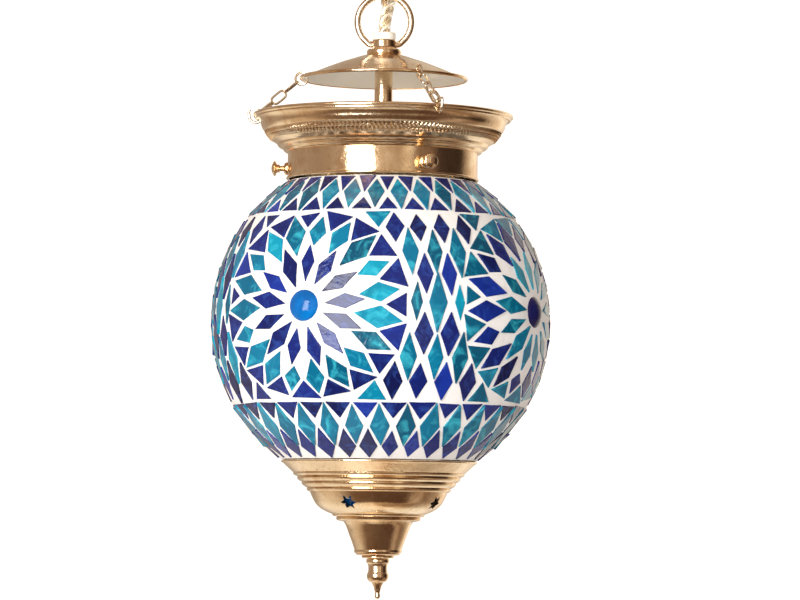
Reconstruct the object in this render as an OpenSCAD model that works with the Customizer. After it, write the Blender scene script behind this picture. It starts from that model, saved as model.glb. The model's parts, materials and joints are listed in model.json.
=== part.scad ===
// Hanging lamp: a glass mosaic globe in a chained brass gallery, under a smoke bell, with a
// ceiling hook and canopy. Origin: centre of the ceiling face, +Z up, front towards -Y.
// Heights named *_z are measured from the globe's centre, which hangs globe_drop below the ceiling.

/* [Suspension] */
// Distance from the ceiling to the centre of the globe
globe_drop = 218; // [216:1:230]
// Radius of the ceiling canopy
canopy_r = 47; // [44:1:60]
// Distance between the two ceiling screws
screw_spacing = 60; // [50:1:64]
// Diameter of the hook's wire
hook_wire = 4; // [3.6:0.1:4.2]
// Centreline radius of the hanging ring
ring_r = 14.2; // [14:0.1:15]
// Diameter of the flex cord
cord_d = 6.3; // [5:0.1:6.4]

/* [Bell and gallery] */
// Radius of the smoke bell
bell_r = 44.6; // [44:0.1:45.5]
// Outer radius of the gallery's rim
rim_r = 68.8; // [68:0.1:69.5]
// Outer radius of the gallery's collar (4 inch fitter)
collar_r = 50.2; // [49.8:0.1:50.6]
// Thickness of the spun sheet
sheet = 0.9; // [0.7:0.05:1]
// Direction of the first chain, from the front towards +X
chain_az = 25; // [15:0.5:26]
// Direction of the first thumb screw, from the front towards +X
screw_az = 26; // [20:0.5:40]

/* [Globe] */
// Outer diameter of the globe over its tiles
globe_d = 180; // [176:1:182]
// Thickness of the blown glass
glass_wall = 3; // [2.4:0.1:3.2]
// Thickness of a tile
tile_t = 1.6; // [1:0.1:1.6]
// Direction of the first medallion, from the front towards +X
medallion_az = -26; // [-45:1:0]
// Number of tiles in each row of the top band
top_count = 32; // [28:1:34]
// Number of tiles in each row of the bottom band
bottom_count = 33; // [28:1:34]

/* [Hidden] */
$fn = 64;

globe_r = globe_d / 2;
cord_r = cord_d / 2;
hook_r = hook_wire / 2;

// The mosaic's layers, from the glass outwards
tile_bed_r = globe_r - tile_t - 0.15;
grout_r = tile_bed_r - 0.05;
glass_r = grout_r - 2.2;
grout_gap = 0.08;

// Levels on the axis
finial_tip_z = -145.7;
disc_bottom_z = -124.2;
disc_top_z = -121.6;
cup_rim_z = -73.4;
collar_bottom_z = 74.8;
screw_z = 81;
collar_top_z = 89.5;
bell_rim_z = 129.2;
bell_top_z = 141.6;
hub_neck_z = 145;
pivot_z = 147.2;
hub_top_z = 149.6;
bush_top_z = 153.6;
cord_joint_z = 151.6;
ring_z = 159.2;
canopy_bottom_z = 192.6;
ceiling_z = globe_drop;

// Suspension
ring_wire_r = 1.7;
ring_pin_r = 1.6;
ring_pin_end_x = 4.4;
hook_bend_r = 5.5;
hook_low_z = ring_z + ring_r - ring_wire_r - hook_r - 0.1;
hook_bend_z = hook_low_z + hook_bend_r;
plate_r = 38;
plate_t = 2;
plate_boss_r = 6;
plate_boss_h = 9;
ceiling_screw_r = 2.25;
cord_entry = [5.9, 14.3];

// Route of the flex cord from the hub's bush to the terminal block, above the globe's centre
cord_route = [
    [0, 0, 151.6], [0, 0.1, 153.2], [0.1, 0.5, 155.4], [0.3, 1.5, 158.2], [0.7, 3.1, 161.2],
    [1.3, 5.2, 164.4], [2, 7.6, 167.8], [2.7, 9.7, 171.2], [3.4, 11.2, 175.2], [4, 12.2, 179.6],
    [4.8, 13.2, 184], [5.5, 13.9, 187.6], [5.9, 14.3, 191], [5.9, 14.3, 196], [5.9, 14.3, 201]
];
cord_sides = 12;

// Stem and lamp holder
stem_r = 4.8;
stem_bore = 3.8;
stem_bottom_z = 58;
thread_gap = 0.05;
cord_bore_r = cord_r + 0.35;
holder_top_z = 64;
holder_cap_z = 52;
holder_r = 17;
holder_bottom_z = 20;
bulb_cap_r = 13.2;
bulb_r = 22.5;
bulb_z = -9;
bulb_neck_z = 18;

// Side chains, in the plane that holds the axis and the chain
chain_wire_r = 0.75;
jump_r = 3.2;
hook_wire_r = 0.85;
rim_hook_r = 3.5;
bell_bead = [bell_r - 0.9, bell_rim_z - 0.3];
bell_bead_r = 0.9;
rim_bead = [rim_r - 1, 108.9];
rim_bead_r = 1;
chain_run = rim_bead - bell_bead;
chain_tilt = atan2(chain_run[1], chain_run[0]);
link_start = jump_r - 2 * chain_wire_r;
link_end = norm(chain_run) - (rim_hook_r - hook_wire_r - chain_wire_r);
link_count = 3;
link_pitch = (link_end - link_start + (link_count - 1) * 2 * chain_wire_r) / link_count;
link_half_w = 2.5;

// Thumb screws
screw_shank_r = 1.5;
screw_tip_rho = 46.3;
screw_head_rho = 54.6;
screw_head_r = 3.9;

// Globe neck
neck_r = 45.8;
neck_lip_r = 47.4;
neck_lip_z = 84.4;
neck_top_z = 87;
rod_hole_r = 5;
rod_r = 3;

// Mosaic layout, in degrees
medallion_lat = 2.5;
medallion_count = 4;
petal_count = 13;
ring_count = 19;
band_az = medallion_az + 45;
cabochon_r = 7.9;
cabochon_h = 3.6;
star_az = -28;
star_count = 4;

function unit(v) = v / norm(v);
function total(list, i = 0) = i == len(list) - 1 ? list[i] : list[i] + total(list, i + 1);
function last(list) = list[len(list) - 1];
function reversed(list) = [for (i = [len(list) - 1:-1:0]) list[i]];

// Unit vector from the globe's centre towards an azimuth and a latitude
function towards(az, lat) = [sin(az) * cos(lat), -cos(az) * cos(lat), sin(lat)];

// Outline of a wall of thickness t on the left of a profile that is walked along its points
function side_of(p, q) = unit([p[1] - q[1], q[0] - p[0]]);
function shifted(points, i, t) =
    i == 0 ? points[0] + t * side_of(points[0], points[1])
    : i == len(points) - 1 ? points[i] + t * side_of(points[i - 1], points[i])
    : let (a = side_of(points[i - 1], points[i]), b = side_of(points[i], points[i + 1]), m = unit(a + b))
        points[i] + m * t / (m * a);
function wall(points, t) =
    concat(points, reversed([for (i = [0:len(points) - 1]) shifted(points, i, t)]));

// Points of an arc in the profile plane
function arc(centre, r, from, to, steps) =
    [for (i = [0:steps]) let (a = from + (to - from) * i / steps) centre + r * [cos(a), sin(a)]];

module from_globe() {
    translate([0, 0, -globe_drop]) children();
}

module lathe(outline) {
    rotate_extrude() polygon(outline);
}

module turned(outline) {
    from_globe() lathe(outline);
}

module rod(a, b, r) {
    d = b - a;
    translate(a)
        rotate([0, acos(d[2] / norm(d)), atan2(d[1], d[0])])
            cylinder(h = norm(d), r = r);
}

module tube(r_out, r_in, z0, z1) {
    difference() {
        translate([0, 0, z0]) cylinder(h = z1 - z0, r = r_out);
        translate([0, 0, z0 - 1]) cylinder(h = z1 - z0 + 2, r = r_in);
    }
}

// ---- Ceiling fitting -------------------------------------------------------------------

module ceiling_plate() {
    color("silver")
        difference() {
            union() {
                translate([0, 0, -plate_t]) cylinder(h = plate_t, r = plate_r);
                translate([0, 0, -plate_boss_h]) cylinder(h = plate_boss_h, r = plate_boss_r);
            }
            translate([0, 0, -plate_boss_h - 1]) cylinder(h = plate_boss_h - 1, r = hook_r);
            for (side = [-1, 1])
                translate([side * screw_spacing / 2, 0, -plate_t - 1]) cylinder(h = plate_t + 2, r = ceiling_screw_r);
        }
}

module canopy_cup() {
    shoulder = 24;
    side_z = ceiling_z - 6;
    curve = [for (a = [-90:10:0])
        [shoulder + (canopy_r - shoulder) * cos(a), side_z + (side_z - canopy_bottom_z) * sin(a)]];
    profile = concat([[hook_r + 0.15, canopy_bottom_z]], curve, [[canopy_r, ceiling_z]]);
    color("tan")
        from_globe()
            difference() {
                lathe(wall(profile, sheet));
                translate([cord_entry[0], cord_entry[1], canopy_bottom_z - 1]) cylinder(h = 4, r = 4.9);
            }
}

module ceiling_hook() {
    shank_top_z = ceiling_z - 2;
    bend_top_z = hook_bend_z + hook_bend_r;
    color("tan")
        from_globe() {
            translate([0, 0, hook_bend_z])
                rotate([90, 0, -90])
                    rotate([0, 0, 150])
                        rotate_extrude(angle = 300) translate([hook_bend_r, 0]) circle(r = hook_r);
            translate([0, 0, bend_top_z]) sphere(r = hook_r + 0.15);
            translate([0, 0, bend_top_z]) cylinder(h = shank_top_z - bend_top_z, r = hook_r);
            translate([0, -hook_bend_r * cos(150), hook_bend_z + hook_bend_r * sin(150)])
                sphere(r = hook_r + 0.3);
        }
}

module canopy_nut() {
    color("tan") from_globe() tube(6, hook_r + thread_gap, canopy_bottom_z - 4, canopy_bottom_z);
}

module canopy_bush() {
    body = [
        [cord_r + 0.2, canopy_bottom_z - 2.2], [5.4, canopy_bottom_z - 2.2], [6.6, canopy_bottom_z - 1.4],
        [6.6, canopy_bottom_z], [4.7, canopy_bottom_z], [4.7, canopy_bottom_z + 3], [cord_r + 0.2, canopy_bottom_z + 3]
    ];
    color("ivory") translate([cord_entry[0], cord_entry[1], 0]) turned(body);
}

module terminal_block() {
    color("ivory")
        from_globe()
            translate([cord_entry[0] - 9, cord_entry[1] - 6, 201]) cube([18, 12, ceiling_z - plate_t - 201]);
}

// ---- Ring and cord -----------------------------------------------------------------------

module hanging_ring() {
    arc_end = 38;
    elbow = [ring_r * cos(arc_end), 0, ring_z - ring_r * sin(arc_end)];
    foot = [elbow[0] - (elbow[2] - pivot_z) * tan(arc_end), 0, pivot_z];
    color("tan")
        from_globe() {
            translate([0, 0, ring_z])
                rotate([90, 0, 0])
                    rotate([0, 0, -arc_end])
                        rotate_extrude(angle = 180 + 2 * arc_end) translate([ring_r, 0]) circle(r = ring_wire_r);
            for (side = [0, 1])
                mirror([side, 0, 0]) {
                    translate(elbow) sphere(r = ring_wire_r + 0.15);
                    rod(elbow, foot, ring_wire_r);
                    translate(foot) sphere(r = ring_wire_r + 0.25);
                    rod(foot, [ring_pin_end_x, 0, pivot_z], ring_pin_r);
                }
        }
}

// Direction of the cord's route at each of its points
function heading(path, i) = unit(path[min(i + 1, len(path) - 1)] - path[max(i - 1, 0)]);

module swept(path, r, sides) {
    rings = [for (i = [0:len(path) - 1])
        let (d = heading(path, i), u = unit(cross([0, 1, 0], d)), v = cross(d, u))
            for (k = [0:sides - 1]) path[i] + r * (cos(360 * k / sides) * u + sin(360 * k / sides) * v)];
    body = [for (i = [0:len(path) - 2], k = [0:sides - 1])
        let (a = i * sides + k, b = i * sides + (k + 1) % sides)
            [a, a + sides, b + sides, b]];
    polyhedron(rings, concat([[for (k = [0:sides - 1]) k]], body,
        [[for (k = [sides - 1:-1:0]) (len(path) - 1) * sides + k]]), convexity = 4);
}

module flex_cord() {
    color("wheat") from_globe() swept(cord_route, cord_r, cord_sides);
}

// ---- Lamp frame --------------------------------------------------------------------------

module loop_hub() {
    color("tan")
        from_globe()
            difference() {
                union() {
                    translate([0, 0, bell_top_z]) cylinder(h = hub_neck_z - bell_top_z, r = 9);
                    translate([0, 0, hub_neck_z]) cylinder(h = hub_top_z - hub_neck_z, r = 6.2);
                }
                translate([0, 0, bell_top_z - 1]) cylinder(h = hub_neck_z - bell_top_z + 1, r = stem_r + thread_gap);
                translate([0, 0, bell_top_z]) cylinder(h = 20, r = cord_bore_r);
                for (side = [-1, 1])
                    rod([side * 4.2, 0, pivot_z], [side * 8, 0, pivot_z], ring_pin_r + 0.08);
            }
}

module hub_bush() {
    color("ivory")
        turned([
            [cord_bore_r, hub_top_z], [6, hub_top_z], [6, bush_top_z - 0.5], [5.5, bush_top_z],
            [4.9, bush_top_z], [4.3, cord_joint_z], [cord_bore_r, hub_top_z + 0.6]
        ]);
}

bell_profile = concat(
    [[stem_r + 0.2, bell_top_z], [9.5, bell_top_z]],
    [[15, 140.2], [22.5, 137.6], [32, 133.8], [bell_r - 0.9, bell_rim_z + 0.1]]
);

module smoke_bell() {
    color("tan")
        from_globe()
            difference() {
                union() {
                    lathe(reversed(wall(reversed(bell_profile), 0.8)));
                    rotate_extrude() translate(bell_bead) circle(r = bell_bead_r);
                }
                for (k = [0:2])
                    rotate([0, 0, chain_az + 120 * k])
                        translate([0, -bell_bead[0] + jump_r, bell_rim_z - 3]) cylinder(h = 8, r = 1.6);
            }
}

module bell_washer() {
    color("silver") from_globe() tube(8.5, stem_r + thread_gap, bell_top_z - 2, bell_top_z - 0.8);
}

module bell_nut() {
    color("tan")
        from_globe()
            difference() {
                translate([0, 0, bell_top_z - 5.6]) cylinder(h = 3.6, r = 8, $fn = 6);
                translate([0, 0, bell_top_z - 6]) cylinder(h = 5, r = stem_r + thread_gap);
            }
}

module stem_tube() {
    color("tan") from_globe() tube(stem_r, stem_bore, stem_bottom_z, hub_neck_z);
}

module stem_cord() {
    color("wheat")
        from_globe() translate([0, 0, holder_cap_z + 2]) cylinder(h = cord_joint_z - holder_cap_z - 2.3, r = cord_r);
}

module holder_cap() {
    outer = concat([[7.4, holder_top_z], [7.4, 60]], arc([7.4, 50.4], 9.6, 90, 10, 6), [[holder_r, holder_cap_z]]);
    inner = [
        [holder_r - 1.8, holder_cap_z], [holder_r - 3.6, 56], [9, 58], [stem_r + thread_gap, 58],
        [stem_r + thread_gap, holder_top_z]
    ];
    color("dimgray") turned(concat(outer, inner));
}

module holder_shell() {
    color("dimgray") from_globe() tube(holder_r, holder_r - 1.8, holder_bottom_z, holder_cap_z);
}

module holder_insert() {
    color("white")
        from_globe()
            difference() {
                translate([0, 0, holder_bottom_z + 2]) cylinder(h = 30, r = holder_r - 1.9);
                translate([0, 0, holder_bottom_z + 1]) cylinder(h = 25, r = bulb_cap_r + 0.2);
            }
}

module bulb_cap() {
    color("silver")
        turned([
            [0, bulb_neck_z], [12.6, bulb_neck_z], [12.6, 20.5], [bulb_cap_r, 21.5], [bulb_cap_r, 40],
            [6, 43.5], [4.5, 45.5], [0, 45.5]
        ]);
}

module bulb_glass() {
    neck_r1 = 12.6;
    bulge = concat([[neck_r1, bulb_neck_z], [14, 11]], arc([0, bulb_z], bulb_r, 42, -89, 14));
    color("white", 0.6) turned(wall(reversed(bulge), 0.9));
}

// ---- Side chains -------------------------------------------------------------------------

// Places children drawn in the XZ plane, with X outwards, at one chain's azimuth
module chain_plane(k) {
    from_globe() rotate([0, 0, chain_az + 120 * k - 90]) children();
}

module torus(r, wire_r) {
    rotate([90, 0, 0]) rotate_extrude() translate([r, 0]) circle(r = wire_r);
}

module jump_ring(k) {
    color("tan")
        chain_plane(k) translate([bell_bead[0], 0, bell_bead[1]]) torus(jump_r, chain_wire_r);
}

// An oval link that lies along X from 0, in the XY plane
module link(pitch) {
    half = link_half_w;
    for (side = [0, 1])
        translate([side ? pitch - half : half, 0, 0])
            rotate([0, 0, side ? -90 : 90])
                rotate_extrude(angle = 180) translate([half, 0]) circle(r = chain_wire_r);
    for (side = [-1, 1])
        rod([half, side * half, 0], [pitch - half, side * half, 0], chain_wire_r);
}

module chain_links(k) {
    color("tan")
        chain_plane(k)
            translate([bell_bead[0], 0, bell_bead[1]])
                rotate([0, -chain_tilt, 0])
                    for (i = [0:link_count - 1])
                        translate([link_start + i * (link_pitch - 2 * chain_wire_r), 0, 0])
                            rotate([90 * (i % 2), 0, 0]) link(link_pitch);
}

module rim_hook(k) {
    tail = 4;
    color("tan")
        chain_plane(k)
            translate([rim_bead[0], 0, rim_bead[1]]) {
                rotate([90, 0, 0])
                    rotate([0, 0, 100]) rotate_extrude(angle = 260) translate([rim_hook_r, 0]) circle(r = hook_wire_r);
                translate([rim_hook_r, 0, 0]) sphere(r = hook_wire_r + 0.1);
                translate([rim_hook_r, 0, 0]) cylinder(h = tail, r = hook_wire_r);
            }
}

// ---- Gallery and screws ------------------------------------------------------------------

gallery_profile = [
    [collar_r, collar_bottom_z], [collar_r, collar_top_z], [52.6, 90.6], [55.2, 92.6], [58.6, 95.7],
    [62.3, 100.2], [64.3, 105], [rim_bead[0] - 0.6, rim_bead[1] - 0.7]
];
rim_hole = rim_bead + rim_hook_r * unit(gallery_profile[6] - rim_bead);
rim_hole_axis = side_of(rim_hole, rim_bead);

// A point on the axis of a rim hole, at a distance from its middle
function drilled(d) = [0, -rim_hole[0] - d * rim_hole_axis[0], rim_hole[1] + d * rim_hole_axis[1]];

module gallery() {
    color("tan")
        from_globe()
            difference() {
                union() {
                    lathe(wall(gallery_profile, sheet));
                    rotate_extrude() translate(rim_bead) circle(r = rim_bead_r);
                    rotate_extrude() translate([collar_r - 0.1, collar_bottom_z + 0.7]) circle(r = 0.7);
                    for (k = [0:2])
                        rotate([0, 0, screw_az + 120 * k])
                            rod([0, -collar_r + 0.4, screw_z], [0, -collar_r - 2.2, screw_z], 2.9);
                }
                for (k = [0:2]) {
                    rotate([0, 0, screw_az + 120 * k])
                        rod([0, -collar_r + 4, screw_z], [0, -collar_r - 6, screw_z], screw_shank_r + thread_gap);
                    rotate([0, 0, chain_az + 120 * k]) rod(drilled(-3), drilled(3), 1.9);
                }
            }
}

module neck_gasket() {
    color("dimgray") from_globe() tube(neck_r + 1.2, neck_r + 0.02, 82.9, neck_lip_z);
}

module thumb_shank(k) {
    color("tan")
        from_globe()
            rotate([0, 0, screw_az + 120 * k])
                rod([0, -screw_tip_rho, screw_z], [0, -screw_head_rho, screw_z], screw_shank_r);
}

module thumb_head(k) {
    profile = [
        [0, 0], [1.9, 0], [1.9, 1.2], [screw_head_r - 0.4, 2], [screw_head_r, 2.7], [screw_head_r - 0.4, 3.4],
        [1.6, 4.4], [0, 4.4]
    ];
    color("tan")
        from_globe()
            rotate([0, 0, screw_az + 120 * k])
                translate([0, -screw_head_rho, screw_z]) rotate([90, 0, 0]) lathe(profile);
}

// ---- Globe and mosaic --------------------------------------------------------------------

// Latitude at which a sphere of radius r has the parallel of radius rho
function lat_of(r, rho) = acos(rho / r);

module glass_globe() {
    inner_r = glass_r - glass_wall;
    inner_neck_r = neck_r - glass_wall;
    outer = concat(
        arc([0, 0], glass_r, -lat_of(glass_r, rod_hole_r), lat_of(glass_r, neck_r), 48),
        [[neck_r, neck_lip_z], [neck_lip_r, neck_lip_z], [neck_lip_r, neck_top_z]]
    );
    inner = concat(
        [[inner_neck_r, neck_top_z]],
        arc([0, 0], inner_r, lat_of(inner_r, inner_neck_r), -lat_of(inner_r, rod_hole_r), 48)
    );
    color("lightblue", 0.5) turned(concat(outer, inner));
}

module grout_layer() {
    inner_r = glass_r + grout_gap;
    outline = concat(
        arc([0, 0], grout_r, -lat_of(grout_r, 50), lat_of(grout_r, 50), 40),
        arc([0, 0], inner_r, lat_of(inner_r, 48.6), -lat_of(inner_r, 48.6), 40)
    );
    color("whitesmoke") turned(outline);
}

// One flat tile whose corners lie in the given directions from the globe's centre
module tile(corners) {
    up = unit(total(corners));
    east = unit(cross([0, 0, 1], up));
    north = cross(up, east);
    outline = [for (v = corners) tile_bed_r / (v * up) * [v * east, v * north]];
    frame = [for (i = [0:2]) [east[i], north[i], up[i], up[i] * tile_bed_r]];
    multmatrix(frame) linear_extrude(tile_t) polygon(outline);
}

// A point at x, y degrees from a medallion's centre. The lower half is a little flattened,
// because the band below stands nearer than the one above.
function medallion_point(az, p) =
    let (
        flat = p[1] < 0 ? 0.12 : 0.035,
        q = [p[0], p[1] * (1 - flat * pow(p[1] / 34.5, 2))],
        up = towards(az, medallion_lat),
        east = unit(cross([0, 0, 1], up)),
        a = norm(q),
        across = (q[0] * east + q[1] * cross(up, east)) / a
    ) cos(a) * up + sin(a) * across;

// A kite along the ray th, from r0 over its widest place rm to r1
function kite(th, r0, rm, r1, w) =
    let (ray = [cos(th), sin(th)], side = [-sin(th), cos(th)])
        [r0 * ray, rm * ray + w * side, r1 * ray, rm * ray - w * side];

// An outer triangle with its point inwards
function wedge(th, r0, r1, half_angle) =
    [r0 * [cos(th), sin(th)], r1 * [cos(th + half_angle), sin(th + half_angle)],
     r1 * [cos(th - half_angle), sin(th - half_angle)]];

function placed(az, shapes) = [for (s = shapes) [for (p = s) medallion_point(az, p)]];
function petals() = [for (k = [0:petal_count - 1]) kite(90 + k * 360 / petal_count, 8.8, 15.2, 20.6, 2.9)];
function rhombs() = [for (k = [0:ring_count - 1]) kite(86.5 + k * 360 / ring_count, 20.8, 25.8, 31.2, 3.1)];
function wedges() = [for (k = [0:ring_count - 1]) wedge(86.5 + (k + 0.5) * 360 / ring_count, 28.8, 34.3, 6.6)];

// Corner fillers between a medallion and the bands, as azimuth and latitude corners
function fillers(az) = [for (side = [-1, 1], low = [0, 1])
    low ? [towards(az + side * 20, -28.3), towards(az + side * 27, -28.3), towards(az + side * 24, -23.6)]
        : [towards(az + side * 20.8, 35.9), towards(az + side * 28.6, 35.9), towards(az + side * 24.8, 31.2)]];

// A rhombus or triangle row: corners as offsets in azimuth from each tile's centre, and latitudes
function row(count, az, corners) =
    [for (k = [0:count - 1]) [for (c = corners) towards(az + k * 360 / count + c[0], c[1])]];

function diamond(half_w, low, mid, high) = [[0, low], [half_w, mid], [0, high], [-half_w, mid]];

// Rows of the upright lozenge band: count, pitch, half width, latitudes low, mid and high
cobalt_lozenges = [
    [4, 9.3, 3.4, 24, 30.2, 36.1], [2, 8.6, 2.6, 6.6, 14, 21.2], [2, 8.9, 2.9, -12.6, -6.2, 0.2],
    [4, 9.5, 3.2, -28.4, -22.4, -15.8]
];
turquoise_lozenges = [
    [3, 8.9, 2.9, 13.6, 21.4, 29], [3, 7.3, 2.4, -3, 4.2, 11.2], [3, 9.2, 2.8, -21.2, -14.2, -7]
];

function lozenges(rows) =
    [for (b = [0:medallion_count - 1], r = rows, k = [0:r[0] - 1])
        let (az = band_az + 90 * b + (k - (r[0] - 1) / 2) * r[1])
            [for (c = diamond(r[2], r[3], r[4], r[5])) towards(az + c[0], c[1])]];

first_top_az = 2.5;
first_bottom_az = 5.5;
half_top = 180 / top_count;
half_bottom = 180 / bottom_count;

function band_cobalt() = concat(
    row(top_count, first_top_az, [[-4.4, 37.4], [4.4, 37.4], [0, 43.6]]),
    row(top_count, first_top_az, [[-4, 54.6], [4, 54.6], [0, 47]]),
    row(bottom_count, first_bottom_az, [[-4.1, -30.4], [0, -35.6], [4.1, -30.4]]),
    row(bottom_count, first_bottom_az, diamond(3.9, -53.2, -48.4, -41.6))
);
function band_turquoise() = concat(
    row(top_count, first_top_az + half_top, diamond(3.6, 39, 46, 52)),
    row(bottom_count, first_bottom_az + half_bottom, diamond(3.2, -45.8, -39.4, -32.6))
);

// Medallions alternate: the colours of the second and fourth are exchanged
function medallion_cobalt() = [for (m = [0:medallion_count - 1])
    let (az = medallion_az + 90 * m)
        for (t = placed(az, m % 2 ? rhombs() : concat(petals(), wedges()))) t];
function medallion_turquoise() = [for (m = [0:medallion_count - 1])
    let (az = medallion_az + 90 * m)
        for (t = concat(placed(az, m % 2 ? concat(petals(), wedges()) : rhombs()), fillers(az))) t];

module cobalt_tiles() {
    color("mediumblue")
        from_globe()
            for (t = concat(medallion_cobalt(), lozenges(cobalt_lozenges), band_cobalt())) tile(t);
}

module turquoise_tiles() {
    color("darkcyan")
        from_globe()
            for (t = concat(medallion_turquoise(), lozenges(turquoise_lozenges), band_turquoise())) tile(t);
}

module cabochons() {
    dome_r = (cabochon_r * cabochon_r + cabochon_h * cabochon_h) / (2 * cabochon_h);
    color("dodgerblue")
        from_globe()
            for (m = [0:medallion_count - 1])
                rotate([0, 0, medallion_az + 90 * m])
                    rotate([90 - medallion_lat, 0, 0])
                        translate([0, 0, tile_bed_r])
                            difference() {
                                translate([0, 0, cabochon_h - dome_r]) sphere(r = dome_r);
                                translate([0, 0, -20]) cube([40, 40, 40], center = true);
                            }
}

// ---- Bottom cup and finial ---------------------------------------------------------------

cup_profile = [
    [12.2, disc_top_z], [13.2, -120.4], [14.2, -115.5], [16.6, -110.2], [18.6, -106.2], [21.6, -104.4],
    [22, -102.6], [23.4, -101.6], [28.6, -99.6], [32.6, -96.2], [35.2, -92.6], [36.6, -89.4],
    [38.6, -87.2], [41.6, -83.2], [46.2, -79], [49.6, -75.8], [51.2, cup_rim_z]
];
star_rho = 33.4;
star_z = -95;
star_tilt = 38;

module star(r) {
    inner = r * 0.56;
    polygon([for (i = [0:11]) (i % 2 ? inner : r) * [cos(30 * i), sin(30 * i)]]);
}

// Places children at each star, with +Z along the wall's outward normal
module at_stars() {
    for (k = [0:star_count - 1])
        rotate([0, 0, star_az + 90 * k])
            translate([0, -star_rho, star_z])
                rotate([90 + star_tilt, 0, 0]) children();
}

module base_cup() {
    color("tan")
        from_globe()
            difference() {
                lathe(concat([[rod_r + 0.2, disc_top_z]], cup_profile,
                    reversed([for (i = [1:len(cup_profile) - 1]) shifted(cup_profile, i, sheet)]),
                    [[rod_r + 0.2, disc_top_z + 1.4]]));
                at_stars() translate([0, 0, -3]) linear_extrude(6) star(4.7);
            }
}

module star_glass() {
    color("midnightblue") from_globe() at_stars() translate([0, 0, -4.4]) cylinder(h = 1.5, r = 5.2);
}

module rod_washer() {
    color("dimgray") from_globe() tube(11, rod_r + thread_gap, -82.1, -79.8);
}

module rod_nut() {
    color("silver")
        from_globe()
            difference() {
                translate([0, 0, -79.8]) cylinder(h = 4.8, r = 5.7, $fn = 6);
                translate([0, 0, -81]) cylinder(h = 8, r = rod_r + thread_gap);
            }
}

module finial_rod() {
    color("silver") from_globe() translate([0, 0, -131]) cylinder(h = 58, r = rod_r);
}

module finial_disc() {
    color("tan") from_globe() tube(8.6, rod_r + thread_gap, disc_bottom_z, disc_top_z);
}

module finial() {
    bore = rod_r + thread_gap;
    color("tan")
        turned([
            [bore, disc_bottom_z], [5.4, disc_bottom_z], [6, -125.6], [5.4, -127], [4.9, -129.4], [5.2, -132],
            [5.7, -133.6], [5, -135.4], [3.5, -136.6], [2.6, -138], [1.9, -139.6], [1.4, -141.6], [1.25, -143],
            [1.45, -144.4], [1, finial_tip_z + 0.3], [0, finial_tip_z], [0, -131.2], [bore, -131.2]
        ]);
}

ceiling_plate();
canopy_cup();
ceiling_hook();
canopy_nut();
canopy_bush();
terminal_block();
hanging_ring();
flex_cord();
loop_hub();
hub_bush();
smoke_bell();
bell_washer();
bell_nut();
stem_tube();
stem_cord();
holder_cap();
holder_shell();
holder_insert();
bulb_cap();
bulb_glass();
jump_ring(0);  // jump_ring_1
jump_ring(1);  // jump_ring_2
jump_ring(2);  // jump_ring_3
chain_links(0);  // chain_links_1
chain_links(1);  // chain_links_2
chain_links(2);  // chain_links_3
rim_hook(0);  // rim_hook_1
rim_hook(1);  // rim_hook_2
rim_hook(2);  // rim_hook_3
gallery();
neck_gasket();
thumb_shank(0);  // thumb_shank_1
thumb_shank(1);  // thumb_shank_2
thumb_shank(2);  // thumb_shank_3
thumb_head(0);  // thumb_head_1
thumb_head(1);  // thumb_head_2
thumb_head(2);  // thumb_head_3
glass_globe();
grout_layer();
cobalt_tiles();
turquoise_tiles();
cabochons();
base_cup();
star_glass();
rod_washer();
rod_nut();
finial_rod();
finial_disc();
finial();
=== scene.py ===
"""Hanging mosaic lamp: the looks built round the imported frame.

All shapes are written in millimetres from the globe's centre, and place() turns them into the
row frame's metres.
"""

import json
import math
import random

import bpy
from mathutils import Matrix, Vector, noise


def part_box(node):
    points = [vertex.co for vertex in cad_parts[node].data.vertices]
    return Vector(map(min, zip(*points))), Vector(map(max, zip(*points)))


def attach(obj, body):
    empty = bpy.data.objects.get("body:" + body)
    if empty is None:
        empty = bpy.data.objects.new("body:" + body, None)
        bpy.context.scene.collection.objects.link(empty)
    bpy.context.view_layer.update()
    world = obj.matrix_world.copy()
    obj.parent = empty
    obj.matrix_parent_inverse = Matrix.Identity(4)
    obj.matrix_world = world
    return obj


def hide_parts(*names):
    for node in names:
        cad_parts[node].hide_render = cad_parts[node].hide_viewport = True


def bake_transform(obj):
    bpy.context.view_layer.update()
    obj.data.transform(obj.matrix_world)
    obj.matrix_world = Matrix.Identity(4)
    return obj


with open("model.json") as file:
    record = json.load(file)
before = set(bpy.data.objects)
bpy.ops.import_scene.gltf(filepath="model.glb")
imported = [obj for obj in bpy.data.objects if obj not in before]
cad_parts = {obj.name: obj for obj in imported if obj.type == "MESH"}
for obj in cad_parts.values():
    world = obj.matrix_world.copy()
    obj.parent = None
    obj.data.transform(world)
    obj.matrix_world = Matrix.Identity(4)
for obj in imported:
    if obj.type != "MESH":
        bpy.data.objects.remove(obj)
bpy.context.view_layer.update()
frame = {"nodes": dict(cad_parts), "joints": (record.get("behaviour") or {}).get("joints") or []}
joints = {j["name"]: j for j in frame["joints"]}
GLOBE_Z = joints["globe_twist"]["pos_m"][2]
CENTRE = Vector((0, 0, GLOBE_Z))
MM = 0.001
TAU = 2 * math.pi


def place(p):
    """Millimetres from the globe's centre, as a point in the row frame."""
    return Vector((p[0] * MM, p[1] * MM, p[2] * MM + GLOBE_Z))


def level(z_m):
    """A height in the row frame, in millimetres from the globe's centre."""
    return (z_m - GLOBE_Z) / MM


# ---- Camera ------------------------------------------------------------------------------

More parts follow.
